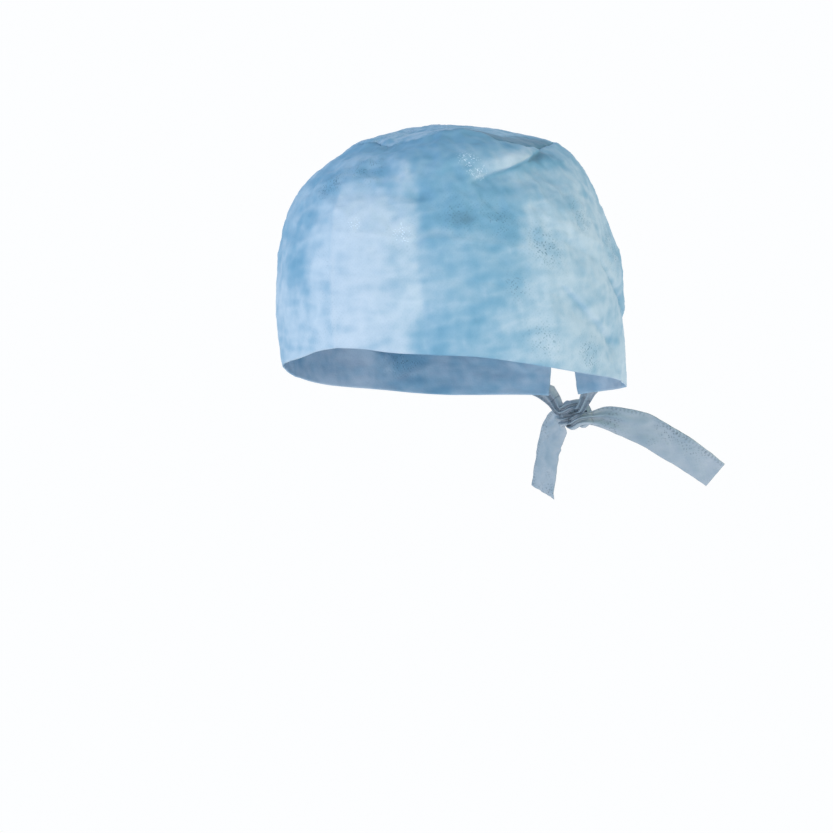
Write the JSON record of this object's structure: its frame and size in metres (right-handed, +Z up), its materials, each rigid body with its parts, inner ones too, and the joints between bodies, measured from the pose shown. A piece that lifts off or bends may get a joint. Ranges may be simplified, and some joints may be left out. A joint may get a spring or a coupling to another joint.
{
  "type": "tie-back scrub cap",
  "caption": "Disposable tie-back scrub cap in worn form: a tall cloth side panel under an oval crown, open slit at the nape, ties knotted behind with loose ends.",
  "frame": {"origin": "centre of the head opening, about 20 mm above the wearer's ear canals, where the cap sits on a head", "axes": "+Z up through the crown, -Y to the forehead, +X to the wearer's left"},
  "size_m": [0.166, 0.2554, 0.22],
  "materials": {
    "cap_cloth": "light blue point-bonded nonwoven, matt with a faint sheen",
    "tie_cloth": "grey-blue point-bonded nonwoven folded double, matt"
  },
  "bodies": {
    "root": {"side_panel": "cap_cloth", "crown_panel": "cap_cloth", "tie_left": "tie_cloth", "tie_right": "tie_cloth", "nape_knot": "tie_cloth", "tail_left": "tie_cloth", "tail_right": "tie_cloth"}
  },
  "joints": []
}
